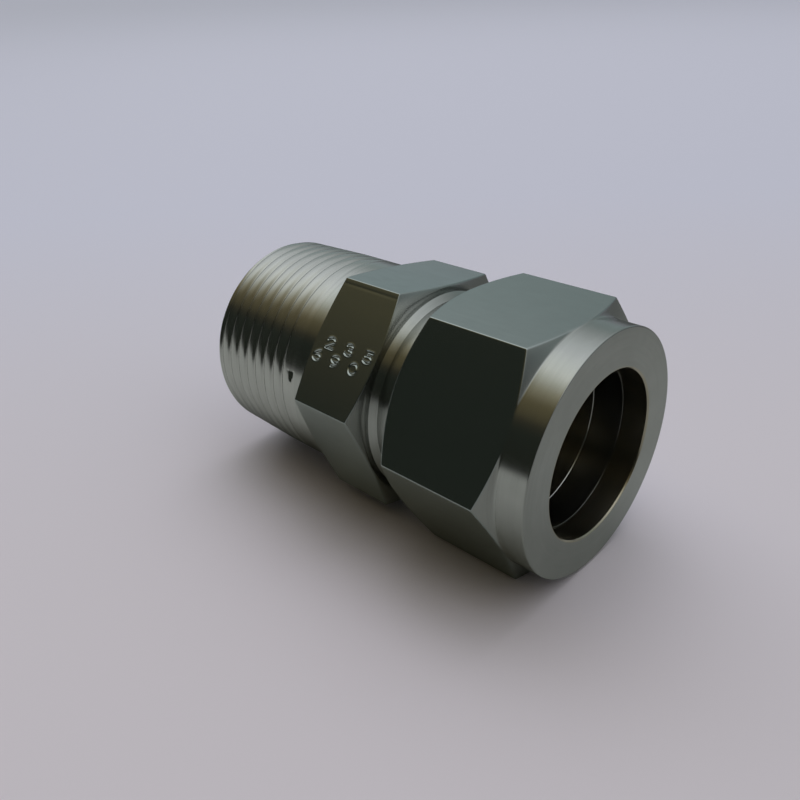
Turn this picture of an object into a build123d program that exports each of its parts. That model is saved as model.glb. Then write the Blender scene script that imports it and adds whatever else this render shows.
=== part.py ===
from build123d import *
import os
from math import cos, radians, sin, tan

# Male connector for tube: a body with a tapered pipe thread, a nut and two ferrules that grip the tube.
# Millimetres. The origin is the centre of the shoulder that the tube's end stops on. The fitting's axis
# is X, with +X out of the mouth that takes the tube, and the nut lies on one of its flats, so Z is up.
# The nut is finger tight: every seat just clears. Threads are plain cylinders at the pitch line.

# Tube
TUBE_DIAMETER = 19.05
TUBE_CLEARANCE = 0.075
FLOW_DIAMETER = 15.8

# Body: tube socket and the cone that cams the front ferrule inwards
SOCKET_DEPTH = 10.0
CAM_DEPTH = 3.6
CAM_ANGLE = 20.0

# Body: hexagon, with both ends turned to a shallow cone
SHOULDER_FROM_STOP = 1.85
BODY_HEX_RISE = 0.79375
BODY_HEX_LENGTH = 9.95
BODY_HEX_TURN = -8.0
BODY_HEX_SLOPE = 18.5
SHOULDER_STEP = 0.6

# Body: neck and outer thread for the nut
THREAD_WALL = 3.175
THREAD_PITCH = 1.27
THREAD_CLEARANCE = 0.05
THREAD_CHAMFER = 0.8
NECK_DEPTH = 0.8
NECK_LENGTH = 2.35
NECK_CONE = 0.7

# Body: tapered pipe end
PIPE_DIAMETER = 27.0
PIPE_LENGTH = 19.05
PIPE_TAPER = 1 / 16
PIPE_TAPER_LENGTH = 9.6
PIPE_CHAMFER = 1.4
PIPE_BORE_CHAMFER = 0.5

# Ferrules
SEAT_CLEARANCE = 0.05
FERRULE_WALL = 1.85
FRONT_NOSE_WALL = 0.25
FRONT_FLANGE_GAP = 1.0
FRONT_FLANGE_LENGTH = 3.8
FRONT_REAR_CAM_DEPTH = 0.95
BACK_CAM_ANGLE = 45.0
BACK_NOSE_WALL = 0.1
BACK_FLANGE_GAP = 0.3
BACK_FLANGE_LENGTH = 0.88
FERRULE_EDGE = 0.2

# Nut
NUT_WALL = 1.5875
NUT_LENGTH = 19.0
NUT_BORE_CLEARANCE = 0.175
NUT_BORE_LENGTH = 3.0
NUT_SEAT_ANGLE = 45.0
NUT_RELIEF = 1.8
CHAMBER_CLEARANCE = 0.3
COLLAR_RELIEF = 0.0375
COLLAR_LENGTH = 3.5
COLLAR_SLOPE = 26.0
NUT_BACK_LAND = 0.5
NUT_BACK_SLOPE = 36.0
NUT_COUNTERSINK = 0.6
MOUTH_EDGE = 0.26
RIM_EDGE = 0.15

# Radii that mating pieces share
HEX_SIDES = 6
TURNING_ALLOWANCE = 1.0
corner_per_flat = 1 / cos(radians(180 / HEX_SIDES))
tube_radius = TUBE_DIAMETER / 2
bore_radius = tube_radius + TUBE_CLEARANCE
thread_radius = tube_radius + THREAD_WALL
pitch_radius = thread_radius - 3 / 8 * THREAD_PITCH * cos(radians(30))
body_thread_radius = pitch_radius - THREAD_CLEARANCE / 2
nut_thread_radius = pitch_radius + THREAD_CLEARANCE / 2
ferrule_radius = bore_radius + FERRULE_WALL

# Stations along the axis, counted from the tube stop
cam_start = SOCKET_DEPTH
body_mouth = cam_start + CAM_DEPTH
front_flange = body_mouth + FRONT_FLANGE_GAP
front_rear = front_flange + FRONT_FLANGE_LENGTH
back_flange = front_rear + BACK_FLANGE_GAP
back_shoulder = back_flange + BACK_FLANGE_LENGTH
shoulder = SHOULDER_FROM_STOP
hex_start = shoulder - BODY_HEX_LENGTH
pipe_end = hex_start - PIPE_LENGTH


def hexagon(flats, station, turn=0.0):
    """A hexagon across the axis at a station along X, turned about X."""
    with BuildSketch(Plane.YZ.offset(station)) as across:
        RegularPolygon(flats / 2, HEX_SIDES, major_radius=False, rotation=turn)
    return across.sketch


def turning(*points):
    """A closed lathe profile through (X, radius) points, in the plane through the axis."""
    with BuildSketch(Plane.XZ) as profile:
        with BuildLine():
            Polyline(*points, close=True)
        make_face()
    return profile.sketch


def turned_ends(flats, start, start_radius, start_slope, stop, stop_radius, stop_slope):
    """The profile that turns both ends of a hexagonal bar to cones, sloped from the end faces."""
    outside = flats / 2 * corner_per_flat + TURNING_ALLOWANCE
    start_run = (outside - start_radius) * tan(radians(start_slope))
    stop_run = (outside - stop_radius) * tan(radians(stop_slope))
    return turning(
        (start, 0), (start, start_radius), (start + start_run, outside),
        (stop - stop_run, outside), (stop, stop_radius), (stop, 0),
    )


# Connector body
body_flats = 2 * (thread_radius + BODY_HEX_RISE)
pipe_radius = PIPE_DIAMETER / 2
taper_start = pipe_end + PIPE_CHAMFER
taper_start_radius = pipe_radius - PIPE_TAPER_LENGTH * PIPE_TAPER / 2
neck_radius = thread_radius - NECK_DEPTH
neck_end = shoulder + NECK_LENGTH
shoulder_radius = thread_radius + SHOULDER_STEP
flow_radius = FLOW_DIAMETER / 2
cam_radius = bore_radius + CAM_DEPTH * tan(radians(CAM_ANGLE))

with BuildPart() as connector_body:
    extrude(hexagon(body_flats, hex_start, BODY_HEX_TURN), amount=BODY_HEX_LENGTH)
    ends = turned_ends(
        body_flats, hex_start, pipe_radius, BODY_HEX_SLOPE, shoulder, shoulder_radius, BODY_HEX_SLOPE,
    )
    revolve(ends, axis=Axis.X, mode=Mode.INTERSECT)

    # pipe end: chamfer, tapered stretch, then plain stretch up to the hexagon
    profile = turning(
        (pipe_end, 0), (pipe_end, taper_start_radius - PIPE_CHAMFER), (taper_start, taper_start_radius),
        (taper_start + PIPE_TAPER_LENGTH, pipe_radius), (hex_start, pipe_radius), (hex_start, 0),
    )
    revolve(profile, axis=Axis.X)

    # neck and thread for the nut, with a small cone against the shoulder
    profile = turning(
        (shoulder, 0), (shoulder, neck_radius + NECK_CONE), (shoulder + NECK_CONE, neck_radius),
        (neck_end, neck_radius), (neck_end + body_thread_radius - neck_radius, body_thread_radius),
        (body_mouth - THREAD_CHAMFER, body_thread_radius),
        (body_mouth, body_thread_radius - THREAD_CHAMFER), (body_mouth, 0),
    )
    revolve(profile, axis=Axis.X)

    # flow bore, tube socket and cam cone
    profile = turning(
        (pipe_end, 0), (pipe_end, flow_radius + PIPE_BORE_CHAMFER),
        (pipe_end + PIPE_BORE_CHAMFER, flow_radius), (0, flow_radius), (0, bore_radius),
        (cam_start, bore_radius), (body_mouth, cam_radius), (body_mouth, 0),
    )
    revolve(profile, axis=Axis.X, mode=Mode.SUBTRACT)

# Front ferrule: its long cone lies in the body's cam, and its rear cone takes the back ferrule's nose
cam_tangent = tan(radians(CAM_ANGLE))
cam_shift = SEAT_CLEARANCE / sin(radians(CAM_ANGLE))
front_nose = cam_start + cam_shift + FRONT_NOSE_WALL / cam_tangent
front_cone_radius = bore_radius + (front_flange - cam_start - cam_shift) * cam_tangent
rear_cam_start = front_rear - FRONT_REAR_CAM_DEPTH
rear_cam_tangent = tan(radians(BACK_CAM_ANGLE))
rear_cam_radius = bore_radius + FRONT_REAR_CAM_DEPTH * rear_cam_tangent

with BuildPart() as front_ferrule:
    profile = turning(
        (front_nose, bore_radius), (front_nose, bore_radius + FRONT_NOSE_WALL),
        (front_flange, front_cone_radius), (front_flange, ferrule_radius - FERRULE_EDGE),
        (front_flange + FERRULE_EDGE, ferrule_radius), (front_rear - FERRULE_EDGE, ferrule_radius),
        (front_rear, ferrule_radius - FERRULE_EDGE), (front_rear, rear_cam_radius),
        (rear_cam_start, bore_radius),
    )
    revolve(profile, axis=Axis.X)

# Back ferrule: its nose lies in the front ferrule's rear cone, and its rear cone lies in the nut's seat
rear_cam_shift = SEAT_CLEARANCE / sin(radians(BACK_CAM_ANGLE))
back_nose = rear_cam_start + rear_cam_shift + BACK_NOSE_WALL / rear_cam_tangent
nose_top = front_rear
nose_top_radius = bore_radius + (nose_top - rear_cam_start - rear_cam_shift) * rear_cam_tangent
seat_tangent = tan(radians(NUT_SEAT_ANGLE))
nut_bore_radius = tube_radius + NUT_BORE_CLEARANCE
back_rear = back_shoulder + (ferrule_radius - nut_bore_radius) / seat_tangent

with BuildPart() as back_ferrule:
    profile = turning(
        (back_nose, bore_radius), (back_nose, bore_radius + BACK_NOSE_WALL), (nose_top, nose_top_radius),
        (back_flange, nose_top_radius), (back_flange, ferrule_radius), (back_shoulder, ferrule_radius),
        (back_rear, nut_bore_radius), (back_rear, bore_radius),
    )
    revolve(profile, axis=Axis.X)

# Nut: the seat is placed by the back ferrule, and everything else is counted from the seat
nut_flats = 2 * (thread_radius + NUT_WALL)
seat_start = back_rear + SEAT_CLEARANCE / sin(radians(NUT_SEAT_ANGLE))
mouth = seat_start + NUT_BORE_LENGTH
nut_back = mouth - NUT_LENGTH
collar_start = mouth - COLLAR_LENGTH
collar_radius = nut_flats / 2 - COLLAR_RELIEF
chamber_radius = ferrule_radius + CHAMBER_CLEARANCE
chamber_end = seat_start - (chamber_radius - nut_bore_radius) / seat_tangent
chamber_start = body_mouth + NUT_RELIEF
countersink_radius = nut_thread_radius + NUT_COUNTERSINK
nut_back_radius = countersink_radius + NUT_BACK_LAND

with BuildPart() as nut:
    extrude(hexagon(nut_flats, nut_back), amount=collar_start - nut_back)
    ends = turned_ends(
        nut_flats, nut_back, nut_back_radius, NUT_BACK_SLOPE, collar_start, collar_radius, COLLAR_SLOPE,
    )
    revolve(ends, axis=Axis.X, mode=Mode.INTERSECT)

    # round collar at the mouth
    profile = turning(
        (nut_back, 0), (nut_back, nut_back_radius), (collar_start, nut_back_radius),
        (collar_start, collar_radius),
        (mouth - RIM_EDGE, collar_radius), (mouth, collar_radius - RIM_EDGE), (mouth, 0),
    )
    revolve(profile, axis=Axis.X)

    # thread, ferrule chamber, seat and tube bore
    profile = turning(
        (nut_back, 0), (nut_back, countersink_radius), (nut_back + NUT_COUNTERSINK, nut_thread_radius),
        (chamber_start, nut_thread_radius), (chamber_start, chamber_radius), (chamber_end, chamber_radius),
        (seat_start, nut_bore_radius), (mouth - MOUTH_EDGE, nut_bore_radius),
        (mouth, nut_bore_radius + MOUTH_EDGE), (mouth, 0),
    )
    revolve(profile, axis=Axis.X, mode=Mode.SUBTRACT)

os.makedirs("parts", exist_ok=True)

connector_body.part.label = "connector_body"
export_step(connector_body.part, "parts/connector_body.step")

front_ferrule.part.label = "front_ferrule"
export_step(front_ferrule.part, "parts/front_ferrule.step")

back_ferrule.part.label = "back_ferrule"
export_step(back_ferrule.part, "parts/back_ferrule.step")

nut.part.label = "nut"
export_step(nut.part, "parts/nut.step")

print(f"mouth at {mouth:.3f}, overall {mouth - pipe_end:.3f}")
print(f"nut flats {nut_flats:.3f}, body flats {body_flats:.3f}, nut back at {nut_back:.3f}")
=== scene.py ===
"""Male connector tube fitting in stainless steel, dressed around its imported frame.

Four turned pieces: the connector body, the nut and the two ferrules. Sizes are in millimetres, in the
frame's own axes: X runs along the fitting and out of the mouth that takes the tube, and Z is up. Angles
round the axis are counted from +Z towards -Y, which is the right-handed sense about +X.
"""

import logging
from collections.abc import Callable
from dataclasses import dataclass, field
from enum import Enum

import bmesh
import bpy
import numpy as np
from mathutils import Matrix, Vector
from mathutils.geometry import delaunay_2d_cdt


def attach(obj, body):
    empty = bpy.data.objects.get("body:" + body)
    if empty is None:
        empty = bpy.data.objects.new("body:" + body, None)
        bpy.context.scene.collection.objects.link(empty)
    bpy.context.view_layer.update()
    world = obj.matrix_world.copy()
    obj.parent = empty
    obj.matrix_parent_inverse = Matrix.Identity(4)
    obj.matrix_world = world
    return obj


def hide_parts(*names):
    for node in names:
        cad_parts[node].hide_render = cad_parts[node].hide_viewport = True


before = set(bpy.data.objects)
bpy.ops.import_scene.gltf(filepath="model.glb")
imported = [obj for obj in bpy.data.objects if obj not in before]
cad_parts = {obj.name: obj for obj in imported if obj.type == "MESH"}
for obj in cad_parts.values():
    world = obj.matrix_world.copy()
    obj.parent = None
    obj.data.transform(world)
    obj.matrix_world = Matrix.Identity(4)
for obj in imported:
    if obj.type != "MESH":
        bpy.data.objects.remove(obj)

LOG = logging.getLogger("fitting")
METRES = 0.001
FLANK = np.tan(np.radians(30.0))
WELD = 1e-7
SHARP_ANGLE = np.radians(28.0)


class Lay(Enum):
    """Which way the tool or die marks run on a surface."""

    TURNED = "round the axis"
    DRAWN = "along the axis"


class Skin(Enum):
    """The kinds of surface that one piece shows; the value is its place in the piece's material list."""

    TURNED = 0
    FLAT = 1
    THREAD = 2
    BORE = 3


@dataclass(frozen=True)
class Steel:
    """One finish of stainless steel, with the marks that made it.

    Attributes:
        name: Name of the Blender material.
        colour: Reflectance of the metal, linear.
        shade: Reflectance in its darker streaks, linear.
        roughness: Lowest and highest roughness, spread by the marks.
        anisotropy: How much more the marks blur across than along.
        lay: Which way the marks run.
        marks: Marks per millimetre across the lay, fine and broad.
        along: Changes per millimetre along the lay.
        depth: Height of the fine marks in micrometres.
        grain: Height of a directionless fine grain in micrometres.
    """

    name: str
    colour: tuple[float, float, float]
    shade: tuple[float, float, float]
    roughness: tuple[float, float]
    anisotropy: float
    lay: Lay
    marks: tuple[float, float]
    along: float
    depth: float
    grain: float

    def material(self) -> bpy.types.Material:
        """Builds the finish as a material, once."""
        made = bpy.data.materials.get(self.name)
        return made if made else self._build()

    def _build(self) -> bpy.types.Material:
        """Lays the nodes: streaks and grain from object coordinates in millimetres into colour, roughness and bump."""
        material = bpy.data.materials.new(self.name)
        material.use_nodes = True
        tree = Tree(material.node_tree)
        place = tree.add("ShaderNodeTexCoord").outputs["Object"]
        mm = tree.vector("SCALE", place, scale=1 / METRES)
        fine = self._streaks(tree, mm, self.marks[0])
        broad = self._streaks(tree, mm, self.marks[1])
        grain = tree.noise(mm, scale=9.0, detail=2.0)
        mottle = tree.noise(mm, scale=0.35, detail=3.0)
        streak = tree.math("ADD", tree.math("MULTIPLY", fine, 0.45), tree.math("MULTIPLY", broad, 0.55))
        tone = tree.math("ADD", tree.math("MULTIPLY", streak, 0.6), tree.math("MULTIPLY", mottle, 0.4))
        colour = tree.add("ShaderNodeMix", data_type="RGBA")
        tree.join(tree.stretch(tone, 0.3, 0.7, 0.0, 1.0), colour.inputs["Factor"])
        colour.inputs["A"].default_value = (*self.shade, 1.0)
        colour.inputs["B"].default_value = (*self.colour, 1.0)
        rough = tree.stretch(tone, 0.3, 0.7, self.roughness[1], self.roughness[0])
        coarse = tree.bump(broad, self.depth * 2.0, None)
        lines = tree.bump(fine, self.depth, coarse)
        normal = tree.bump(grain, self.grain, lines)
        bsdf = tree.shader
        bsdf.inputs["Metallic"].default_value = 1.0
        bsdf.inputs["Anisotropic"].default_value = self.anisotropy
        bsdf.inputs["Anisotropic Rotation"].default_value = 0.25
        tree.join(colour.outputs["Result"], bsdf.inputs["Base Color"])
        tree.join(rough, bsdf.inputs["Roughness"])
        tree.join(normal, bsdf.inputs["Normal"])
        tree.join(self._tangent(tree, place), bsdf.inputs["Tangent"])
        return material

    def _streaks(self, tree: "Tree", mm: bpy.types.NodeSocket, marks: float) -> bpy.types.NodeSocket:
        """Noise drawn out along the lay: fast in X and radius where turned, fast across the flat where drawn."""
        x, y, z = tree.split(mm)
        if self.lay is Lay.DRAWN:
            spread = tree.combine(
                tree.math("MULTIPLY", x, self.along), tree.math("MULTIPLY", y, marks), tree.math("MULTIPLY", z, marks)
            )
            return tree.noise(spread, scale=1.0, detail=3.0)
        radius = tree.math("SQRT", tree.math("ADD", tree.math("MULTIPLY", y, y), tree.math("MULTIPLY", z, z)))
        spread = tree.combine(
            tree.math("MULTIPLY", x, marks), tree.math("MULTIPLY", radius, marks), tree.math("MULTIPLY", y, self.along)
        )
        return tree.noise(spread, scale=1.0, detail=3.0, fourth=tree.math("MULTIPLY", z, self.along))

    def _tangent(self, tree: "Tree", place: bpy.types.NodeSocket) -> bpy.types.NodeSocket:
        """The direction of the marks: round the axis is X cross the place, along the axis is X itself."""
        turn = tree.add("ShaderNodeVectorTransform", vector_type="VECTOR", convert_from="OBJECT", convert_to="WORLD")
        if self.lay is Lay.DRAWN:
            turn.inputs[0].default_value = (1.0, 0.0, 0.0)
        else:
            cross = tree.add("ShaderNodeVectorMath", operation="CROSS_PRODUCT")
            cross.inputs[0].default_value = (1.0, 0.0, 0.0)
            tree.join(place, cross.inputs[1])
            tree.join(cross.outputs[0], turn.inputs[0])
        return turn.outputs[0]


class Tree:
    """A short way to lay and join the nodes of one material or world."""

    def __init__(self, tree: bpy.types.NodeTree) -> None:
        """Keeps the node tree and its main shader, if it has one.

        Args:
            tree: The node tree to build in.
        """
        self.tree = tree
        self.shader = tree.nodes.get("Principled BSDF")

    def add(self, kind: str, **settings: object) -> bpy.types.Node:
        """Adds a node of that kind with those settings."""
        node = self.tree.nodes.new(kind)
        for name, value in settings.items():
            setattr(node, name, value)
        return node

    def join(self, source: bpy.types.NodeSocket, target: bpy.types.NodeSocket) -> None:
        """Links an output to an input."""
        self.tree.links.new(source, target)

    def math(self, operation: str, first: object, second: object = None) -> bpy.types.NodeSocket:
        """A Math node on sockets or numbers."""
        node = self.add("ShaderNodeMath", operation=operation)
        for value, socket in zip((first, second), node.inputs):
            if isinstance(value, (int, float)):
                socket.default_value = value
            elif value is not None:
                self.join(value, socket)
        return node.outputs[0]

    def vector(self, operation: str, source: bpy.types.NodeSocket, scale: float = 1.0) -> bpy.types.NodeSocket:
        """A Vector Math node on one vector."""
        node = self.add("ShaderNodeVectorMath", operation=operation)
        self.join(source, node.inputs[0])
        if operation == "SCALE":
            node.inputs["Scale"].default_value = scale
        return node.outputs["Vector"]

    def split(self, source: bpy.types.NodeSocket) -> list[bpy.types.NodeSocket]:
        """The X, Y and Z of a vector."""
        node = self.add("ShaderNodeSeparateXYZ")
        self.join(source, node.inputs[0])
        return list(node.outputs)

    def combine(self, *parts: bpy.types.NodeSocket) -> bpy.types.NodeSocket:
        """A vector from three numbers."""
        node = self.add("ShaderNodeCombineXYZ")
        for value, socket in zip(parts, node.inputs):
            self.join(value, socket)
        return node.outputs[0]

    def noise(
        self, place: bpy.types.NodeSocket, scale: float, detail: float, fourth: bpy.types.NodeSocket | None = None
    ) -> bpy.types.NodeSocket:
        """Noise at a place, with a fourth coordinate where one is given."""
        node = self.add("ShaderNodeTexNoise", noise_dimensions="4D" if fourth else "3D")
        self.join(place, node.inputs["Vector"])
        if fourth:
            self.join(fourth, node.inputs["W"])
        node.inputs["Scale"].default_value = scale
        node.inputs["Detail"].default_value = detail
        return node.outputs["Fac"]

    def stretch(
        self, value: bpy.types.NodeSocket, low: float, high: float, to_low: float, to_high: float, smooth: bool = False
    ) -> bpy.types.NodeSocket:
        """Maps a value from one range to another."""
        node = self.add("ShaderNodeMapRange", interpolation_type="SMOOTHSTEP" if smooth else "LINEAR")
        self.join(value, node.inputs["Value"])
        for name, number in (("From Min", low), ("From Max", high), ("To Min", to_low), ("To Max", to_high)):
            node.inputs[name].default_value = number
        return node.outputs["Result"]

    def bump(
        self, height: bpy.types.NodeSocket, micrometres: float, under: bpy.types.NodeSocket | None
    ) -> bpy.types.NodeSocket:
        """A bump of that height over the normal under it."""
        node = self.add("ShaderNodeBump")
        node.inputs["Distance"].default_value = micrometres * 1e-6
        self.join(height, node.inputs["Height"])
        if under:
            self.join(under, node.inputs["Normal"])
        return node.outputs["Normal"]

    def ramp(
        self, value: bpy.types.NodeSocket, span: float, stops: tuple[tuple[float, tuple[float, float, float]], ...]
    ) -> bpy.types.NodeSocket:
        """Colour stops along a value, over a span either side of 0."""
        node = self.add("ShaderNodeValToRGB")
        elements = node.color_ramp.elements
        while len(elements) < len(stops):
            elements.new(0.5)
        for element, (at, colour) in zip(elements, stops):
            element.position = at / (2 * span) + 0.5
            element.color = (*colour, 1.0)
        self.join(self.stretch(value, -span, span, 0.0, 1.0), node.inputs[0])
        return node.outputs["Color"]


@dataclass(frozen=True)
class Columns:
    """Angles round the axis at which a piece's surfaces have their points, shared by all its bands.

    Attributes:
        turns: Whole turns from +Z towards -Y; the last is the first plus one.
    """

    turns: np.ndarray

    @classmethod
    def even(cls, count: int) -> "Columns":
        """That many equal steps."""
        return cls(np.linspace(0.0, 1.0, count + 1))

    def place(self, x: np.ndarray, radius: np.ndarray) -> np.ndarray:
        """Points (x, -r sin t, r cos t), with the last column exactly on the first.

        Args:
            x: Stations, lines by columns.
            radius: Radii, lines by columns.

        Returns:
            Points, lines by columns by 3.
        """
        angle = 2 * np.pi * np.append(self.turns[:-1], self.turns[0])
        return np.stack([x, -radius * np.sin(angle), radius * np.cos(angle)], axis=-1)


@dataclass(frozen=True)
class Hexagon:
    """A hexagonal bar with slightly rounded corners.

    Attributes:
        flats: Size across flats.
        corner_round: Radius of the rounding at a corner.
        first_corner: Angle of one corner in degrees.
    """

    flats: float
    corner_round: float
    first_corner: float

    @property
    def apothem(self) -> float:
        """Distance from the axis to a flat."""
        return self.flats / 2

    @property
    def corner_half(self) -> float:
        """Angle in degrees from a corner to where its rounding meets the flat."""
        return 30.0 - np.degrees(np.arctan((self.apothem - self.corner_round) * FLANK / self.apothem))

    def radius(self, turns: np.ndarray) -> np.ndarray:
        """Distance from the axis to the bar's surface.

        On a flat it is the apothem over the cosine of the angle from the flat's middle. Near a corner it is
        where the ray leaves the small circle that rounds the corner.

        Args:
            turns: Angles in whole turns.

        Returns:
            Radii of the same shape.
        """
        from_middle = np.abs(np.mod(turns * 360.0 - self.first_corner, 60.0) - 30.0)
        flat = self.apothem / np.cos(np.radians(from_middle))
        centre = (self.apothem - self.corner_round) / np.cos(np.radians(30.0))
        off = np.radians(30.0 - from_middle)
        reach = np.maximum(self.corner_round**2 - (centre * np.sin(off)) ** 2, 0.0)
        arc = centre * np.cos(off) + np.sqrt(reach)
        return np.where(30.0 - from_middle < self.corner_half, arc, flat)

    def columns(self, per_flat: int, extra: tuple[float, ...] = ()) -> Columns:
        """Columns that follow the corners' rounding and spread evenly over the flats.

        Args:
            per_flat: Even steps over each flat.
            extra: More angles in degrees.

        Returns:
            The columns, from the first corner right round to it.
        """
        half = self.corner_half
        hold = half + 0.25
        inside = np.linspace(hold, 60.0 - hold, per_flat + 1)
        one = np.concatenate([[0.0, half / 2, half], inside, [60.0 - half, 60.0 - half / 2]])
        angles = (self.first_corner + one[None, :] + 60.0 * np.arange(6)[:, None]).ravel()
        more = self.first_corner + np.mod(np.array(extra) - self.first_corner, 360.0)
        angles = np.unique(np.round(np.concatenate([angles, more]), 9))
        return Columns(np.append(angles, angles[0] + 360.0) / 360.0)


@dataclass
class Band:
    """Lines of points from one profile point to the next, over all columns.

    Attributes:
        x: Stations, lines by columns.
        radius: Radii, lines by columns.
        skin: Kind of surface.
        keep: False for the quads that another surface fills, lines less one by columns less one.
    """

    x: np.ndarray
    radius: np.ndarray
    skin: Skin
    keep: np.ndarray | None = None


def profile(points: list[tuple[float, float, float]], steps: int = 4, hold: float = 0.05) -> np.ndarray:
    """A lathe profile with eased corners.

    Each corner with a rounding is replaced by an arc that touches both its runs, with one more point a
    little way along each run so that the shading of the runs stays flat.

    Args:
        points: (x, radius, rounding) of each corner.
        steps: Straight steps in an arc.
        hold: Distance of the extra points from the arc.

    Returns:
        (x, radius) rows.
    """
    p = np.array([q[:2] for q in points])
    out = [p[:1]]
    for i in range(1, len(points) - 1):
        rounding = points[i][2]
        if rounding <= 0:
            out.append(p[i : i + 1])
            continue
        back = p[i - 1] - p[i]
        on = p[i + 1] - p[i]
        room = 0.45 * min(np.linalg.norm(back), np.linalg.norm(on))
        back = back / np.linalg.norm(back)
        on = on / np.linalg.norm(on)
        turn = np.pi - np.arccos(np.clip(back @ on, -1, 1))
        cut = min(rounding * np.tan(turn / 2), room)
        rounding = cut / np.tan(turn / 2)
        middle = (back + on) / np.linalg.norm(back + on)
        centre = p[i] + middle * rounding / np.cos(turn / 2)
        share = np.linspace(0, 1, steps + 1)[:, None]
        spoke = (p[i] + back * cut - centre) * (1 - share) + (p[i] + on * cut - centre) * share
        arc = centre + rounding * spoke / np.linalg.norm(spoke, axis=1)[:, None]
        extra = min(hold, room)
        out += [[p[i] + back * (cut + extra)], arc, [p[i] + on * (cut + extra)]]
    out.append(p[-1:])
    return np.concatenate(out)


@dataclass
class Groove:
    """A screw thread: one V groove, wound right-handed along the piece.

    Attributes:
        pitch: Distance between turns.
        root: Width of the groove's flat bottom.
        phase: Station of the groove's middle at angle 0, give or take whole pitches.
        side: 1 for a thread on the outside, -1 for one inside a bore.
    """

    pitch: float
    root: float
    phase: float
    side: int = 1

    def cut(self, columns: Columns, blank: np.ndarray, bottom: np.ndarray) -> tuple[np.ndarray, np.ndarray]:
        """The threaded surface between the two ends of the blank.

        The groove's middle is at phase + pitch (n + turns). Each turn's lines lie across the groove and in
        the middle of the crest beyond it.

        Args:
            columns: The piece's columns.
            blank: (x, radius) rows of the blank's profile, from end to end along +X.
            bottom: (x, radius) rows of the groove's bottom.

        Returns:
            Stations and radii, lines by columns.
        """
        start, stop = blank[0, 0], blank[-1, 0]
        first = np.floor((start - self.phase) / self.pitch) - 2
        last = np.ceil((stop - self.phase) / self.pitch) + 1
        turn = np.arange(first, last)[:, None] + columns.turns[None, :]
        middle = self.phase + self.pitch * turn
        share = self._share(turn)

        def depth(x: np.ndarray, part: np.ndarray) -> np.ndarray:
            """Depth of the bottom under the blank at a station."""
            deep = np.interp(x, blank[:, 0], blank[:, 1]) - np.interp(x, bottom[:, 0], bottom[:, 1])
            return self.side * deep * part

        offsets = self._offsets(middle, lambda x: depth(x, share))
        x = np.stack([middle + s for s in offsets], axis=1).reshape(-1, middle.shape[1])
        away = np.abs(np.stack(offsets[:-1] + [np.full(middle.shape, self.pitch / 2)], axis=1)).reshape(x.shape)
        x = np.clip(x, start, stop)
        part = np.repeat(share[:, None, :], len(offsets), axis=1).reshape(x.shape)
        radius = np.interp(x, blank[:, 0], blank[:, 1]) - self.side * self._sink(depth(x, part), away)
        return x, radius

    def _share(self, turn: np.ndarray) -> np.ndarray:
        """Part of its full depth that the groove has at each turn."""
        return np.ones(turn.shape)

    def _offsets(self, middle: np.ndarray, depth: Callable[[np.ndarray], np.ndarray]) -> list[np.ndarray]:
        """Distances of a turn's lines from the groove's middle, edges found by stepping until flank meets blank."""
        edges = []
        for sign in (-1, 1):
            s = np.full(middle.shape, self.root / 2)
            for _ in range(12):
                s = self.root / 2 + FLANK * np.maximum(depth(middle + sign * s), 0.0)
            edges.append(np.minimum(s, self.pitch / 2 - 0.02))
        low, high = edges
        half = np.full(middle.shape, self.root / 2)
        return [-low, -(low + half) / 2, -half, half, (high + half) / 2, high, (high - low + self.pitch) / 2]

    def _sink(self, deep: np.ndarray, away: np.ndarray) -> np.ndarray:
        """Depth under the blank: the bottom's less the flank, (away - root / 2) / tan 30, and never below 0."""
        return np.maximum(deep - np.maximum(away - self.root / 2, 0.0) / FLANK, 0.0)


@dataclass
class ShallowGroove(Groove):
    """A worn, rounded thread that fades out and ends in the mark where the tool left it.

    Attributes:
        last: Turn, counted from the phase, at which the groove ends.
        fade: Turns over which it gets shallower before that.
        mark: Length of the tool's mark in turns, and its depth as a part of the groove's.
    """

    last: float = 0.0
    fade: float = 1.0
    mark: tuple[float, float] = (0.016, 2.2)

    def _share(self, turn: np.ndarray) -> np.ndarray:
        """The turns left over the fade, from 1 down to 0, with the mark as a short wedge at the end."""
        left = self.last - turn
        share = np.clip(left / self.fade, 0.0, 1.0)
        length, deep = self.mark
        return np.where((left > 0) & (left < length), deep * left / length, share)

    def _offsets(self, middle: np.ndarray, depth: Callable[[np.ndarray], np.ndarray]) -> list[np.ndarray]:
        """Lines at fixed parts of the groove's half width."""
        parts = (-1.0, -0.85, -0.6, -0.3, -0.1, 0.1, 0.3, 0.6, 0.85, 1.0, self.pitch / self.root)
        return [np.full(middle.shape, part * self.root / 2) for part in parts]

    def _sink(self, deep: np.ndarray, away: np.ndarray) -> np.ndarray:
        """Depth under the blank: (1 - u^2)^2 of the bottom's, where u is the distance over the half width."""
        return np.maximum(deep, 0.0) * np.maximum(1 - (2 * away / self.root) ** 2, 0.0) ** 2


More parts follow.
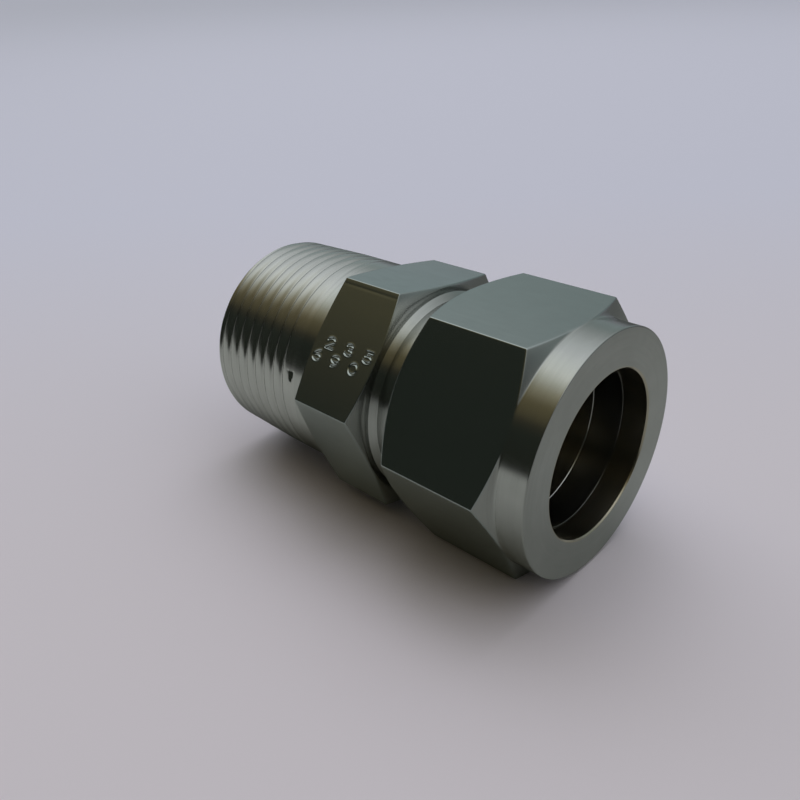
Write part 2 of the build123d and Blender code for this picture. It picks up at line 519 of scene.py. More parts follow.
@dataclass
class Surface:
    """Collects a piece's bands and fillings into one closed mesh.

    Attributes:
        columns: Columns that the bands share.
        bands: The bands, in order along the profile.
        fills: (points, faces, skin) of surfaces that aren't bands.
    """

    columns: Columns
    bands: list[Band] = field(default_factory=list)
    fills: list[tuple[np.ndarray, np.ndarray, Skin]] = field(default_factory=list)

    def revolve(self, rows: np.ndarray, skin: Skin) -> None:
        """Adds a turned band from (x, radius) rows."""
        over = np.ones(len(self.columns.turns))
        self.bands.append(Band(rows[:, :1] * over, rows[:, 1:] * over, skin))

    def piece(self, name: str, materials: list[bpy.types.Material]) -> bpy.types.Object:
        """Makes the object: quads between neighbouring lines and columns, welded where the bands meet.

        Args:
            name: Name of the piece.
            materials: One material for each Skin.

        Returns:
            The finished object, at the origin, with its place in its mesh.
        """
        points, quads, skins, base = [], [], [], 0
        for band in self.bands:
            grid = self.columns.place(band.x, band.radius)
            lines, count = grid.shape[:2]
            index = base + np.arange(lines * count).reshape(lines, count)
            faces = np.stack([index[:-1, :-1], index[:-1, 1:], index[1:, 1:], index[1:, :-1]], axis=-1)
            keep = np.ones(faces.shape[:2], bool) if band.keep is None else band.keep
            quads.append(faces[keep])
            skins.append(np.full(int(keep.sum()), band.skin.value))
            points.append(grid.reshape(-1, 3))
            base += lines * count
        faces = [np.concatenate(quads)]
        for extra, shape, skin in self.fills:
            points.append(extra)
            faces.append(shape + base)
            skins.append(np.full(len(shape), skin.value))
            base += len(extra)
        mesh = bpy.data.meshes.new(name)
        everything = [row for block in faces for row in block.tolist()]
        mesh.from_pydata(np.concatenate(points) * METRES, [], everything)
        mesh.polygons.foreach_set("material_index", np.concatenate(skins).astype(np.int32))
        for material in materials:
            mesh.materials.append(material)
        self._weld(mesh)
        piece = bpy.data.objects.new(name, mesh)
        bpy.context.scene.collection.objects.link(piece)
        return piece

    def _weld(self, mesh: bpy.types.Mesh) -> None:
        """Merges shared points, turns all faces outwards and marks real edges as sharp."""
        work = bmesh.new()
        work.from_mesh(mesh)
        bmesh.ops.remove_doubles(work, verts=work.verts, dist=WELD)
        bmesh.ops.recalc_face_normals(work, faces=work.faces)
        open_edges = sum(1 for edge in work.edges if len(edge.link_faces) != 2)
        work.to_mesh(mesh)
        work.free()
        mesh.shade_smooth()
        mesh.set_sharp_from_angle(angle=SHARP_ANGLE)
        mesh.update()
        triangles = sum(len(p.vertices) - 2 for p in mesh.polygons)
        LOG.info("%s: %d triangles, %d open edges", mesh.name, triangles, open_edges)


def hexagon_ends(
    columns: Columns, hexagon: Hexagon, rows: np.ndarray, ease: float, shares: tuple[float, ...]
) -> tuple[np.ndarray, np.ndarray, int]:
    """Lines from the foot of a turned cone, up the cone and over its edge on to the flats.

    A line is a turned radius q for each column. Its station is where the turned profile has that radius,
    and its own radius is the smooth lesser of q and the hexagon's h: min(q, h) - k (1 - |q - h| / k)^2 / 4
    within k of each other, so the edge between cone and flat is eased.

    Args:
        columns: The piece's columns.
        hexagon: The bar.
        rows: (x, radius) rows of the turned profile, radius rising from first to last.
        ease: Largest k.
        shares: Where the lines on the cone lie, from 0 at its foot to 1 at the edge.

    Returns:
        Stations, radii, and the number of lines up to the edge itself.
    """
    bar = hexagon.radius(columns.turns)
    foot = rows[0, 1]
    k = np.minimum(ease, 0.8 * (bar - foot))
    under = [foot + share * (bar - k - foot) for share in shares]
    over = [bar + k * c for c in (-0.5, 0.0, 0.5, 1.0)]
    turned = np.stack(under + over)
    x = np.interp(turned, rows[:, 1], rows[:, 0])
    near = np.clip(1 - np.abs(turned - bar) / k, 0, 1)
    radius = np.minimum(turned, bar) - k * near**2 / 4
    return x, radius, len(under) + 1


class Figures:
    """Plain figures 0 to 9, drawn with a single stroke in a cell 0.6 wide and 1 high."""

    @staticmethod
    def arc(x: float, y: float, wide: float, high: float, start: float, stop: float) -> np.ndarray:
        """Points on part of an ellipse, angles in degrees."""
        angle = np.radians(np.linspace(start, stop, 25))
        return np.stack([x + wide * np.cos(angle), y + high * np.sin(angle)], axis=1)

    @classmethod
    def strokes(cls, figure: int) -> list[np.ndarray]:
        """The strokes of one figure."""
        line = lambda *points: np.array(points, float)
        six = [cls.arc(0.3, 0.3, 0.3, 0.3, 0, 360), cls.arc(0.62, 0.36, 0.62, 0.64, 180, 105)]
        table = {
            0: [cls.arc(0.3, 0.5, 0.3, 0.5, 0, 360)],
            1: [line((0.08, 0.78), (0.3, 1.0), (0.3, 0.0))],
            2: [np.concatenate([cls.arc(0.3, 0.7, 0.3, 0.3, 165, -35), line((0.0, 0.0), (0.6, 0.0))])],
            3: [cls.arc(0.3, 0.76, 0.25, 0.24, 150, -90), cls.arc(0.3, 0.27, 0.29, 0.27, 90, -150)],
            4: [line((0.45, 0.0), (0.45, 1.0), (0.0, 0.3), (0.6, 0.3))],
            5: [np.concatenate([line((0.55, 1.0), (0.08, 1.0)), cls.arc(0.28, 0.32, 0.31, 0.32, 130, -145)])],
            6: six,
            7: [line((0.0, 1.0), (0.6, 1.0), (0.2, 0.0))],
            8: [cls.arc(0.3, 0.76, 0.24, 0.24, 0, 360), cls.arc(0.3, 0.27, 0.29, 0.27, 0, 360)],
            9: [np.array([0.6, 1.0]) - stroke for stroke in six],
        }
        return table[figure]


@dataclass
class StampedRow:
    """A row of stamped figures on a flat.

    Attributes:
        figures: The figures, in order along +X.
        first: Station of the first figure's middle.
        step: Distance between figures.
        level: Height of the row's middle above the flat's middle line.
        height: Height of a figure.
        width: How much wider than its plain shape a figure is.
    """

    figures: tuple[int, ...]
    first: float
    step: float
    level: float
    height: float
    width: float = 1.6

    def segments(self) -> np.ndarray:
        """All straight pieces of the strokes, as (start, stop) pairs in the flat's own plane."""
        out = []
        for i, figure in enumerate(self.figures):
            cell = np.array([self.height * self.width, self.height])
            corner = np.array([self.first + i * self.step, self.level]) - cell * (0.3, 0.5)
            for stroke in Figures.strokes(figure):
                line = corner + stroke * cell
                out.append(np.stack([line[:-1], line[1:]], axis=1))
        return np.concatenate(out)


@dataclass
class ConnectorBody:
    """The body: tapered pipe thread, hexagon, neck, thread for the nut, and the bores.

    Attributes:
        Sizes are named as in the part's own drawing, with the true forms of both threads added.
    """

    bore: float = 9.6
    flow: float = 7.9
    pipe_end: float = -27.15
    pipe_face: float = 11.8
    pipe_small: float = 13.2
    pipe_plain: float = 13.5
    pipe_taper: float = 1 / 32
    pipe_pitch: float = 25.4 / 14
    pipe_depth: float = 0.18
    pipe_groove: float = 0.95
    pipe_stop: float = -10.0
    pipe_finish: tuple[float, float] = (-10.7, 79.5)
    hexagon: Hexagon = Hexagon(26.9875, 0.15, 22.0)
    hex_start: float = -8.1
    hex_foot: float = 13.485
    shoulder: float = 1.85
    shoulder_radius: float = 13.3
    slope: float = 18.5
    neck_cone: float = 12.6
    neck: float = 11.9
    neck_end: float = 4.2
    thread_crest: float = 12.66
    thread_root: float = 11.92
    thread_pitch: float = 1.27
    thread_bottom: float = 0.2565
    mouth: float = 13.6
    mouth_radius: float = 11.463
    cam: float = 10.91
    socket: float = 10.0
    drawn_line: float = 7.2
    flat_angle: float = 52.0
    mark_columns: tuple[float, ...] = (73.6, 73.8, 75.2, 76.7, 78.2, 79.5)
    stamp_step: float = 0.042
    stamp_margin: tuple[float, float] = (0.34, 0.5)
    rows: tuple[StampedRow, ...] = (
        StampedRow((2, 3, 5), -5.57, 3.04, -0.05, 1.25),
        StampedRow((6, 9, 0), -6.86, 2.98, -1.87, 1.25),
    )

    def build(self) -> bpy.types.Object:
        """Makes the whole body as one closed surface."""
        line_at = [self.drawn_line + d for d in (-0.3, -0.2, -0.05, 0.1, 0.2)]
        extra = tuple(self.flat_angle - np.degrees(np.arctan(v / self.hexagon.apothem)) for v in line_at)
        surface = Surface(self.hexagon.columns(40, extra + self.mark_columns))
        self._pipe(surface)
        self._bar(surface)
        self._neck(surface)
        self._bores(surface)
        looks = [TURNED_STEEL, DRAWN_STEEL, THREAD_STEEL, BORE_STEEL_PAINTED_GLINTS]
        return surface.piece("connector_body_steel", [look.material() for look in looks])

    def _pipe(self, surface: Surface) -> None:
        """End face, tapered thread that fades out, and the plain band up to the hexagon."""
        face = profile(
            [(self.pipe_end + 0.5, self.flow, 0), (self.pipe_end, self.flow + 0.5, 0.06), (self.pipe_end, self.pipe_face, 0)]
        )
        surface.revolve(face, Skin.TURNED)
        full = self.pipe_end + self.pipe_small - self.pipe_face
        plain = full + (self.pipe_plain - self.pipe_small) / self.pipe_taper
        blank = np.array(
            [(self.pipe_end, self.pipe_face), (full, self.pipe_small), (plain, self.pipe_plain), (self.pipe_stop, self.pipe_plain)]
        )
        foot = self.pipe_small - (full - self.pipe_end) * self.pipe_taper
        bottom = np.array([(self.pipe_end, foot), (plain, self.pipe_plain), (self.pipe_stop, self.pipe_plain)])
        bottom[:, 1] -= self.pipe_depth
        last = self.pipe_finish[1] / 360
        phase = self.pipe_finish[0] - self.pipe_pitch * last
        groove = ShallowGroove(self.pipe_pitch, self.pipe_groove, phase, last=last)
        x, radius = groove.cut(surface.columns, blank, bottom)
        surface.bands.append(Band(x, radius, Skin.THREAD))
        band = np.array([(self.pipe_stop, self.pipe_plain), (self.hex_start, self.hex_foot)])
        surface.revolve(band, Skin.TURNED)

    def _bar(self, surface: Surface) -> None:
        """The hexagon with both its turned ends, and the stamped figures on one flat."""
        run = np.tan(np.radians(self.slope))
        height = 4.0
        back = np.array([(self.hex_start, self.hex_foot), (self.hex_start + height * run, self.hex_foot + height)])
        front = np.array([(self.shoulder, self.shoulder_radius), (self.shoulder - height * run, self.shoulder_radius + height)])
        shares = (0.0, 0.3, 0.7, 1.0)
        x1, r1, edge = hexagon_ends(surface.columns, self.hexagon, back, 0.2, shares)
        x2, r2, _ = hexagon_ends(surface.columns, self.hexagon, front, 0.2, shares)
        x2, r2 = x2[::-1], r2[::-1]
        bar = self.hexagon.radius(surface.columns.turns)
        across = (self.flat_angle / 360 - surface.columns.turns) * 2 * np.pi
        level = self.hexagon.apothem * np.tan(np.clip(across, -0.55, 0.55))
        bar = bar - 0.02 * np.clip(1 - np.abs(level - self.drawn_line + 0.05) / 0.25, 0, 1)
        inner = np.stack([x1[-1] * (1 - s) + x2[0] * s for s in (0.01, 0.35, 0.65, 0.99)])
        surface.bands.append(Band(x1[:edge], r1[:edge], Skin.TURNED))
        flat_x = np.concatenate([x1[edge - 1 :], inner, x2[: len(x2) - edge + 1]])
        flat_r = np.concatenate([r1[edge - 1 :], inner * 0 + bar, r2[: len(x2) - edge + 1]])
        keep = np.ones((len(flat_x) - 1, len(bar) - 1), bool)
        first = len(x1) - edge + 1
        inside = np.abs(level) < 6.9
        columns = np.flatnonzero(inside)
        keep[first : first + 3, columns[0] : columns[-1]] = False
        surface.bands.append(Band(flat_x, flat_r, Skin.FLAT, keep))
        surface.bands.append(Band(x2[len(x2) - edge :], r2[len(x2) - edge :], Skin.TURNED))
        rim_x = flat_x[first : first + 4, columns[0] : columns[-1] + 1]
        rim_v = np.broadcast_to(level[columns[0] : columns[-1] + 1], rim_x.shape)
        self._stamp(surface, rim_x, rim_v)

    def _stamp(self, surface: Surface, rim_x: np.ndarray, rim_v: np.ndarray) -> None:
        """Fills one flat: a fine grid pressed by the figures, joined to the flat's rim by plain triangles.

        The depth at a point comes from its distance d to the nearest stroke: -a (1 - (d / w)^2)^2 within w,
        with a raised rim + b exp(-((d - c) / e)^2) beside it.

        Args:
            surface: The surface to add to.
            rim_x: Stations of the opening's points.
            rim_v: Heights of the opening's points in the flat's plane.
        """
        segments = np.concatenate([row.segments() for row in self.rows])
        low = segments.reshape(-1, 2).min(0) - self.stamp_margin
        high = segments.reshape(-1, 2).max(0) + self.stamp_margin
        u = np.linspace(low[0], high[0], int((high[0] - low[0]) / self.stamp_step))
        v = np.linspace(low[1], high[1], int((high[1] - low[1]) / self.stamp_step))
        grid_u, grid_v = np.meshgrid(u, v, indexing="ij")
        here = np.stack([grid_u, grid_v], axis=-1)[:, :, None, :]
        start, run = segments[:, 0], segments[:, 1] - segments[:, 0]
        share = np.clip(((here - start) * run).sum(-1) / (run**2).sum(-1), 0, 1)
        distance = np.linalg.norm(here - start - share[..., None] * run, axis=-1).min(-1)
        press = -0.12 * np.clip(1 - (distance / 0.16) ** 2, 0, 1) ** 2 + 0.02 * np.exp(-(((distance - 0.2) / 0.05) ** 2))
        press[[0, -1], :] = 0
        press[:, [0, -1]] = 0
        count = u.size * v.size
        index = np.arange(count).reshape(u.size, v.size)
        quads = np.stack([index[:-1, :-1], index[1:, :-1], index[1:, 1:], index[:-1, 1:]], axis=-1).reshape(-1, 4)
        surface.fills.append((self._on_flat(grid_u.ravel(), grid_v.ravel(), press.ravel()), quads, Skin.FLAT))
        hole = self._round(index)
        ring = self._round(np.arange(rim_x.size).reshape(rim_x.shape))
        loops = [
            np.stack([rim_x.ravel()[ring], rim_v.ravel()[ring]], axis=1),
            np.stack([grid_u.ravel()[hole], grid_v.ravel()[hole]], axis=1),
        ]
        edges = np.concatenate([self._loop(0, len(loops[0])), self._loop(len(loops[0]), len(loops[1]))])
        corners = [Vector(q) for q in np.concatenate(loops).tolist()]
        made = delaunay_2d_cdt(corners, edges.tolist(), [], 1, 1e-7)
        flat = np.array([tuple(q) for q in made[0]])
        triangles = np.array(made[2])
        middle = flat[triangles].mean(axis=1)
        in_hole = (middle > loops[1].min(0)).all(axis=1) & (middle < loops[1].max(0)).all(axis=1)
        points = self._on_flat(flat[:, 0], flat[:, 1], np.zeros(len(flat)))
        surface.fills.append((points, triangles[~in_hole], Skin.FLAT))

    @staticmethod
    def _loop(first: int, count: int) -> np.ndarray:
        """The edges of a closed loop of points."""
        index = np.arange(count)
        return first + np.stack([index, (index + 1) % count], axis=1)

    @staticmethod
    def _round(index: np.ndarray) -> np.ndarray:
        """The indices right round the edge of a grid of them."""
        return np.concatenate([index[0, :-1], index[:-1, -1], index[-1, :0:-1], index[:0:-1, 0]])

    def _on_flat(self, u: np.ndarray, v: np.ndarray, lift: np.ndarray) -> np.ndarray:
        """Points at u along X and v up the stamped flat, lifted off it."""
        angle = np.radians(self.flat_angle)
        out = self.hexagon.apothem + lift
        return np.stack([u, v * np.cos(angle) - out * np.sin(angle), v * np.sin(angle) + out * np.cos(angle)], axis=1)

    def _neck(self, surface: Surface) -> None:
        """Shoulder face, small cone, neck and the thread for the nut."""
        cone = self.neck_cone - self.neck
        neck = profile(
            [
                (self.shoulder, self.shoulder_radius, 0),
                (self.shoulder, self.neck_cone, 0.08),
                (self.shoulder + cone, self.neck, 0.1),
                (self.neck_end, self.neck, 0),
            ]
        )
        surface.revolve(neck, Skin.TURNED)
        crest_start = self.neck_end + self.thread_crest - self.neck
        crest_stop = self.mouth - (self.thread_crest - self.mouth_radius)
        blank = np.array(
            [
                (self.neck_end, self.neck),
                (crest_start, self.thread_crest),
                (crest_stop, self.thread_crest),
                (self.mouth, self.mouth_radius),
            ]
        )
        bottom = np.array([(self.neck_end, self.thread_root), (self.mouth, self.thread_root)])
        groove = Groove(self.thread_pitch, self.thread_bottom, THREAD_PHASE)
        x, radius = groove.cut(surface.columns, blank, bottom)
        surface.bands.append(Band(x, radius, Skin.THREAD))

    def _bores(self, surface: Surface) -> None:
        """Mouth face, cam cone, tube socket, tube stop and flow bore."""
        rows = profile(
            [
                (self.mouth, self.mouth_radius, 0),
                (self.mouth, self.cam, 0.08),
                (self.socket, self.bore, 0.1),
                (0.0, self.bore, 0.1),
                (0.0, self.flow, 0.1),
                (self.pipe_end + 0.5, self.flow, 0),
            ]
        )
        surface.revolve(rows, Skin.BORE)


@dataclass
class Nut:
    """The nut: hexagon with turned ends, collar, tube bore, seat, ferrule chamber and thread."""

    hexagon: Hexagon = Hexagon(28.575, 0.18, 30.0)
    back: float = 5.401
    back_radius: float = 13.41
    back_slope: float = 36.0
    countersink: float = 12.91
    collar_start: float = 20.901
    collar: float = 14.25
    collar_slope: float = 26.0
    collar_fillet: float = 0.3
    mouth: float = 24.401
    rim: float = 0.15
    mouth_edge: float = 0.16
    bore: float = 9.7
    seat: float = 21.40
    chamber: float = 11.75
    chamber_stop: float = 19.35
    chamber_start: float = 15.4
    thread_crest: float = 12.03
    thread_root: float = 12.70
    thread_pitch: float = 1.27
    thread_bottom: float = 0.159
    thread_fade: float = 1.6

    def build(self) -> bpy.types.Object:
        """Makes the whole nut as one closed surface."""
        surface = Surface(self.hexagon.columns(48))
        self._bar(surface)
        self._mouth(surface)
        self._thread(surface)
        looks = [TURNED_STEEL, DRAWN_STEEL, THREAD_STEEL, BORE_STEEL_PAINTED_GLINTS]
        return surface.piece("nut_steel", [look.material() for look in looks])

    def _bar(self, surface: Surface) -> None:
        """Back face, hexagon with its two turned ends, and the fillet into the collar."""
        face = np.array([(self.back, self.countersink), (self.back, self.back_radius)])
        surface.revolve(face, Skin.TURNED)
        run = np.tan(np.radians(self.back_slope))
        height = 4.0
        back = np.array([(self.back, self.back_radius), (self.back + height * run, self.back_radius + height)])
        run = np.tan(np.radians(self.collar_slope))
        front = profile(
            [
                (self.collar_start + 1.0, self.collar, 0),
                (self.collar_start, self.collar, self.collar_fillet),
                (self.collar_start - height * run, self.collar + height, 0),
            ],
            steps=12,
        )
        front = front[np.flatnonzero(front[:, 1] > self.collar + 1e-9)[0] - 1 :]
        x1, r1, edge1 = hexagon_ends(surface.columns, self.hexagon, back, 0.2, (0.0, 0.3, 0.7, 1.0))
        shares = (0.0, 0.006, 0.02, 0.05, 0.1, 0.2, 0.6, 1.0)
        x2, r2, edge2 = hexagon_ends(surface.columns, self.hexagon, front, 0.2, shares)
        x2, r2 = x2[::-1], r2[::-1]
        bar = self.hexagon.radius(surface.columns.turns)
        inner = np.stack([x1[-1] * (1 - s) + x2[0] * s for s in (0.02, 0.35, 0.65, 0.98)])
        surface.bands.append(Band(x1[:edge1], r1[:edge1], Skin.TURNED))
        tail = len(x2) - edge2
        flat_x = np.concatenate([x1[edge1 - 1 :], inner, x2[: tail + 1]])
        flat_r = np.concatenate([r1[edge1 - 1 :], inner * 0 + bar, r2[: tail + 1]])
        surface.bands.append(Band(flat_x, flat_r, Skin.FLAT))
        surface.bands.append(Band(x2[tail:], r2[tail:], Skin.TURNED))
        self.fillet_foot = float(front[0, 0])

    def _mouth(self, surface: Surface) -> None:
        """Collar, mouth face, tube bore, seat, chamber and its back wall."""
        rows = profile(
            [
                (self.fillet_foot, self.collar, 0),
                (self.mouth, self.collar, self.rim),
                (self.mouth, self.bore + self.mouth_edge, 0.06),
                (self.mouth - self.mouth_edge, self.bore, 0.06),
                (self.seat, self.bore, 0),
            ]
        )
        inner = int(np.argmin(np.abs(rows[:, 1] - (self.bore + self.mouth_edge + 0.05))))
        surface.revolve(rows[: inner + 1], Skin.TURNED)
        surface.revolve(rows[inner:], Skin.BORE)
        rows = profile(
            [
                (self.seat, self.bore, 0),
                (self.chamber_stop, self.chamber, 0.1),
                (self.chamber_start, self.chamber, 0.06),
                (self.chamber_start, self.thread_crest, 0),
            ]
        )
        surface.revolve(rows, Skin.BORE)

    def _thread(self, surface: Surface) -> None:
        """The thread inside the nut, from the chamber back to the countersink."""
        blank = np.array(
            [
                (self.back, self.countersink),
                (self.back + self.countersink - self.thread_crest, self.thread_crest),
                (self.chamber_start, self.thread_crest),
            ]
        )
        bottom = np.array(
            [
                (self.back, self.thread_root),
                (self.chamber_start - self.thread_fade, self.thread_root),
                (self.chamber_start, self.thread_crest - 0.02),
            ]
        )
        groove = Groove(self.thread_pitch, self.thread_bottom, THREAD_PHASE + self.thread_pitch / 2, -1)
        x, radius = groove.cut(surface.columns, blank, bottom)
        surface.bands.append(Band(x[::-1], radius[::-1], Skin.THREAD))


@dataclass
class Ferrules:
    """The two rings that grip the tube, as closed lathe profiles."""

    bore: float = 9.6
    outside: float = 11.45

    def front(self) -> bpy.types.Object:
        """The front ring: long cone for the body's cam and a rear cone for the back ring."""
        rows = [
            (10.833, self.bore, 0), (10.833, 9.85, 0.05), (14.6, 11.221, 0.1), (14.6, 11.25, 0), (14.8, self.outside, 0.08),
            (18.2, self.outside, 0.08), (18.4, 11.25, 0.05), (18.4, 10.55, 0.05), (17.45, self.bore, 0.05),
            (10.833, self.bore, 0),
        ]
        return self._ring("front_ferrule_steel", rows)

    def back(self) -> bpy.types.Object:
        """The back ring: nose in the front ring's rear cone and a rear cone for the nut's seat."""
        rows = [
            (17.621, self.bore, 0), (17.621, 9.7, 0.03), (18.4, 10.479, 0.05), (18.7, 10.479, 0.05), (18.7, self.outside, 0.08),
            (19.58, self.outside, 0.08), (21.33, 9.7, 0.04), (21.33, self.bore, 0.02), (17.621, self.bore, 0),
        ]
        return self._ring("back_ferrule_steel", rows)

    def _ring(self, name: str, rows: list[tuple[float, float, float]]) -> bpy.types.Object:
        """Turns one closed profile."""
        surface = Surface(Columns.even(240))
        surface.revolve(profile(rows), Skin.TURNED)
        return surface.piece(name, [FERRULE_STEEL.material()])


@dataclass(frozen=True)
class Viewpoint:
    """The photograph's camera.

    Attributes:
        place: Where it stands, in millimetres.
        azimuth: Degrees round the fitting; 0 looks along +Y.
        elevation: Degrees above the floor.
        roll: Degrees that the picture leans.
        focal: Focal length in picture widths.
    """

    place: tuple[float, float, float] = (58.114, -64.584, 46.797)
    azimuth: float = 44.445
    elevation: float = 29.209
    roll: float = 2.345
    focal: float = 789.88 / 800

    def set(self) -> None:
        """Makes the camera and gives it to the scene."""
        a, e, roll = np.radians([self.azimuth, self.elevation, self.roll])
        back = np.array([np.sin(a) * np.cos(e), -np.cos(a) * np.cos(e), np.sin(e)])
        level = np.cross(-back, (0.0, 0.0, 1.0))
        level = level / np.linalg.norm(level)
        down = np.cross(-back, level)
        right = np.cos(roll) * level + np.sin(roll) * down
        up = np.sin(roll) * level - np.cos(roll) * down
        camera = bpy.data.objects.new("camera", bpy.data.cameras.new("camera"))
        pose = Matrix.Identity(4)
        for row in range(3):
            pose[row] = (right[row], up[row], back[row], self.place[row] * METRES)
        camera.matrix_world = pose
        camera.data.sensor_width = 36.0
        camera.data.lens = 36.0 * self.focal
        camera.data.clip_start = 0.002
        camera.data.clip_end = 50.0
        bpy.context.scene.collection.objects.link(camera)
        bpy.context.scene.camera = camera


@dataclass
class Studio:
    """Pale floor that reflections see with painted light and shade, soft overhead light and a room that is dim on the
    left.

    Attributes:
        floor_level: Height of the floor in millimetres.
        floor_size: Side of the floor in metres.
        sides: How bright the room is along X, from -1 to 1.
    """

    floor_level: float = -14.452
    floor_size: float = 8.0
    sides: tuple[tuple[float, float], ...] = (
        (-1.0, 0.35), (-0.95, 0.45), (-0.8, 0.95), (-0.6, 1.0), (0.5, 0.9), (0.82, 0.85), (0.97, 0.25), (1.0, 0.25)
    )

    def set(self) -> None:
        """Builds the floor, the room's light and the soft lamp."""
        bpy.context.scene.view_settings.view_transform = "Standard"
        self._floor()
        self._room()
        self._lamp()

    def _floor(self) -> None:
        """A pale table top with a faint mottle. Reflections and bounced light see it as a grey with painted light and
        shade and a painted shadow under the pipe end.
        """
        half = self.floor_size / 2
        share = np.linspace(-1, 1, 9)
        x, y = np.meshgrid(share * half, share * half)
        points = np.stack([x, y, np.full(x.shape, self.floor_level * METRES)], axis=-1).reshape(-1, 3)
        index = np.arange(81).reshape(9, 9)
        quads = np.stack([index[:-1, :-1], index[:-1, 1:], index[1:, 1:], index[1:, :-1]], axis=-1).reshape(-1, 4)
        mesh = bpy.data.meshes.new("floor")
        mesh.from_pydata(points, [], quads.tolist())
        material = bpy.data.materials.new("pale table with painted reflected shade")
        material.use_nodes = True
        tree = Tree(material.node_tree)
        place = tree.add("ShaderNodeTexCoord").outputs["Object"]
        x, y, _ = tree.split(place)
        away = tree.math("MULTIPLY", tree.math("SUBTRACT", y, x), 0.707)
        mottle = tree.math("MULTIPLY", tree.noise(place, scale=25.0, detail=3.0), 0.04)
        colour = tree.add("ShaderNodeMix", data_type="RGBA")
        tree.join(tree.math("ADD", tree.stretch(away, -0.04, 0.16, 0.0, 1.0, smooth=True), mottle), colour.inputs["Factor"])
        colour.inputs["A"].default_value = (0.795, 0.728, 0.815, 1.0)
        colour.inputs["B"].default_value = (0.765, 0.752, 0.925, 1.0)
        # Seen directly the floor is pale; every other ray sees a grey that carries painted light and shade.
        seen = tree.add("ShaderNodeMix", data_type="RGBA")
        tree.join(tree.add("ShaderNodeLightPath").outputs["Is Camera Ray"], seen.inputs["Factor"])
        # Painted shade far out on the -Y side.
        near = tree.stretch(y, -0.36, -0.11, 0.06, 1.0, smooth=True)
        # Painted shade behind the fitting, on the +Y side.
        back = tree.stretch(y, 0.05, 0.1, 1.0, 0.5, smooth=True)
        # Painted light a little way in front of the fitting, on the -Y side.
        front = tree.stretch(y, -0.045, -0.022, 1.15, 1.0, smooth=True)
        # Painted shadow under the pipe end: this line and the next limit it to the floor just beneath the pipe.
        under = tree.stretch(y, -0.02, -0.006, 0.0, 0.75, smooth=True)
        painted_shadow_pipe_side = tree.stretch(x, -0.02, -0.008, 1.0, 0.0, smooth=True)
        shade = tree.math("MULTIPLY", front, tree.math("SUBTRACT", 1.0, tree.math("MULTIPLY", under, painted_shadow_pipe_side)))
        # Painted light towards -X and painted shade towards +X.
        level = tree.math("MULTIPLY", tree.stretch(x, -0.06, 0.08, 0.68, 0.42, smooth=True), near)
        level = tree.math("MULTIPLY", tree.math("MULTIPLY", level, shade), back)
        level = tree.combine(level, level, level)
        tree.join(level, seen.inputs["A"])
        tree.join(colour.outputs["Result"], seen.inputs["B"])
        tree.join(seen.outputs["Result"], tree.shader.inputs["Base Color"])
        tree.shader.inputs["Roughness"].default_value = 0.55
        tree.shader.inputs["Specular IOR Level"].default_value = 0.25
        mesh.materials.append(material)
        floor = bpy.data.objects.new("floor", mesh)
        bpy.context.scene.collection.objects.link(floor)

    def _room(self) -> None:
        """The light from all round: a band overhead along X, grey towards +Y, and dark beyond a tan zone towards -Y."""
        world = bpy.data.worlds.new("room")
        bpy.context.scene.world = world
        world.use_nodes = True
        tree = Tree(world.node_tree)
        ground = world.node_tree.nodes["Background"]
        x, y, z = tree.split(tree.add("ShaderNodeTexCoord").outputs["Generated"])
        lean = tree.math("ARCTAN2", tree.math("MULTIPLY", y, -1.0), z)
        light = tree.ramp(
            tree.math("DEGREES", lean),
            90.0,
            (
                (-90.0, (0.23, 0.24, 0.26)), (-84.0, (0.25, 0.27, 0.29)), (-79.0, (0.295, 0.36, 0.365)),
                (-66.0, (0.28, 0.335, 0.33)), (-54.0, (0.42, 0.46, 0.46)), (-43.0, (0.60, 0.64, 0.65)),
                (-32.0, (0.74, 0.79, 0.80)), (-21.0, (0.86, 0.90, 0.92)), (-8.0, (1.02, 1.07, 1.05)),
                (4.0, (1.02, 1.05, 0.99)), (13.0, (0.68, 0.69, 0.60)), (22.0, (0.40, 0.37, 0.26)),
                (33.0, (0.17, 0.145, 0.078)), (45.0, (0.112, 0.098, 0.056)), (52.0, (0.048, 0.046, 0.033)),
                (60.0, (0.028, 0.034, 0.027)), (90.0, (0.022, 0.025, 0.019)),
            ),
        )
        dim = tree.vector("SCALE", light)
        beyond = tree.ramp(x, 1.0, tuple((at, (level,) * 3) for at, level in self.sides))
        window = tree.math("MULTIPLY", tree.stretch(x, -0.85, -0.4, 0.25, 0.0), tree.stretch(y, -0.1, 0.35, 0.0, 1.0))
        tree.join(tree.math("MULTIPLY", beyond, tree.math("ADD", window, 1.0)), dim.node.inputs["Scale"])
        seen = tree.add("ShaderNodeMix", data_type="RGBA")
        tree.join(tree.add("ShaderNodeLightPath").outputs["Is Camera Ray"], seen.inputs["Factor"])
        tree.join(dim, seen.inputs["A"])
        seen.inputs["B"].default_value = (0.50, 0.50, 0.53, 1.0)
        tree.join(seen.outputs["Result"], ground.inputs["Color"])

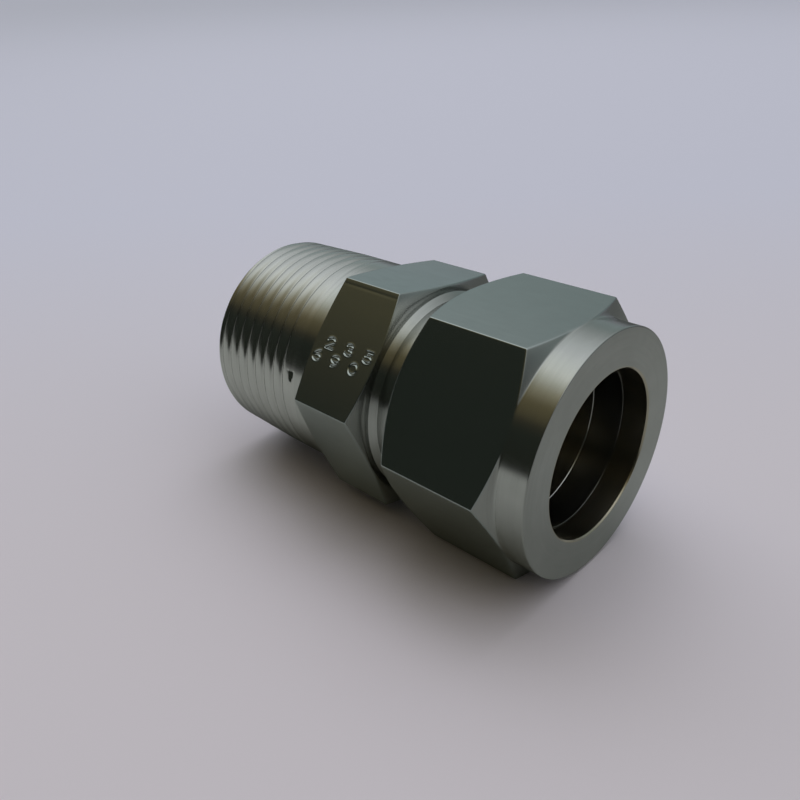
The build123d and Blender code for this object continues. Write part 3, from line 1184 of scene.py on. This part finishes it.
    def _lamp(self) -> None:
        """A soft lamp high behind the fitting, which deepens its shadow and isn't mirrored in the steel."""
        light = bpy.data.lights.new("soft lamp", "AREA")
        light.shape = "DISK"
        light.size = 0.8
        light.energy = 1.7
        lamp = bpy.data.objects.new("soft lamp", light)
        lamp.location = (-0.2, 0.42, 0.95)
        lamp.visible_glossy = False
        lamp.rotation_mode = "QUATERNION"
        lamp.rotation_quaternion = Vector(lamp.location).to_track_quat("Z", "Y")
        bpy.context.scene.collection.objects.link(lamp)


THREAD_PHASE = 4.9
TURNED_STEEL = Steel(
    "turned steel", (0.44, 0.45, 0.435), (0.37, 0.38, 0.365), (0.14, 0.24), 0.7, Lay.TURNED, (12.0, 2.5), 0.12, 0.5, 0.3
)
DRAWN_STEEL = Steel(
    "drawn steel", (0.39, 0.425, 0.42), (0.34, 0.375, 0.37), (0.14, 0.20), 0.3, Lay.DRAWN, (6.0, 1.5), 0.35, 0.25, 0.8
)
THREAD_STEEL = Steel(
    "threaded steel", (0.475, 0.48, 0.465), (0.40, 0.405, 0.39), (0.16, 0.26), 0.6, Lay.TURNED, (12.0, 2.5), 0.15, 0.5, 0.12
)
# Bored steel. Its colour is warmer and brighter than the other finishes, and that brown tint is a painted reflection
# standing in for warm glints inside the bore.
BORE_STEEL_PAINTED_GLINTS = Steel(
    "bored steel with painted warm glints", (0.56, 0.52, 0.42), (0.42, 0.38, 0.30), (0.16, 0.26), 0.6, Lay.TURNED, (12.0, 2.0), 0.12, 0.6, 0.2
)
FERRULE_STEEL = Steel(
    "ferrule steel", (0.50, 0.50, 0.485), (0.42, 0.42, 0.41), (0.14, 0.22), 0.6, Lay.TURNED, (12.0, 2.5), 0.10, 0.4, 0.12
)


def dress(piece: bpy.types.Object, node: str, body: str) -> None:
    """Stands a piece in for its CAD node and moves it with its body."""
    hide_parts(node)
    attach(piece, body)
    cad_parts[node].data.materials.clear()
    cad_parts[node].data.materials.append(piece.data.materials[0])
    LOG.info("%s stands for %s", piece.name, node)


def main() -> None:
    """Builds the camera, the fitting and the studio."""
    logging.basicConfig(level=logging.INFO, format="%(message)s")
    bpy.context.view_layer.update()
    Viewpoint().set()
    dress(ConnectorBody().build(), "connector_body", "connector_body")
    dress(Nut().build(), "nut", "nut")
    ferrules = Ferrules()
    dress(ferrules.front(), "front_ferrule", "ferrule_set")
    dress(ferrules.back(), "back_ferrule", "ferrule_set")
    Studio().set()


if __name__ == "__main__":
    main()
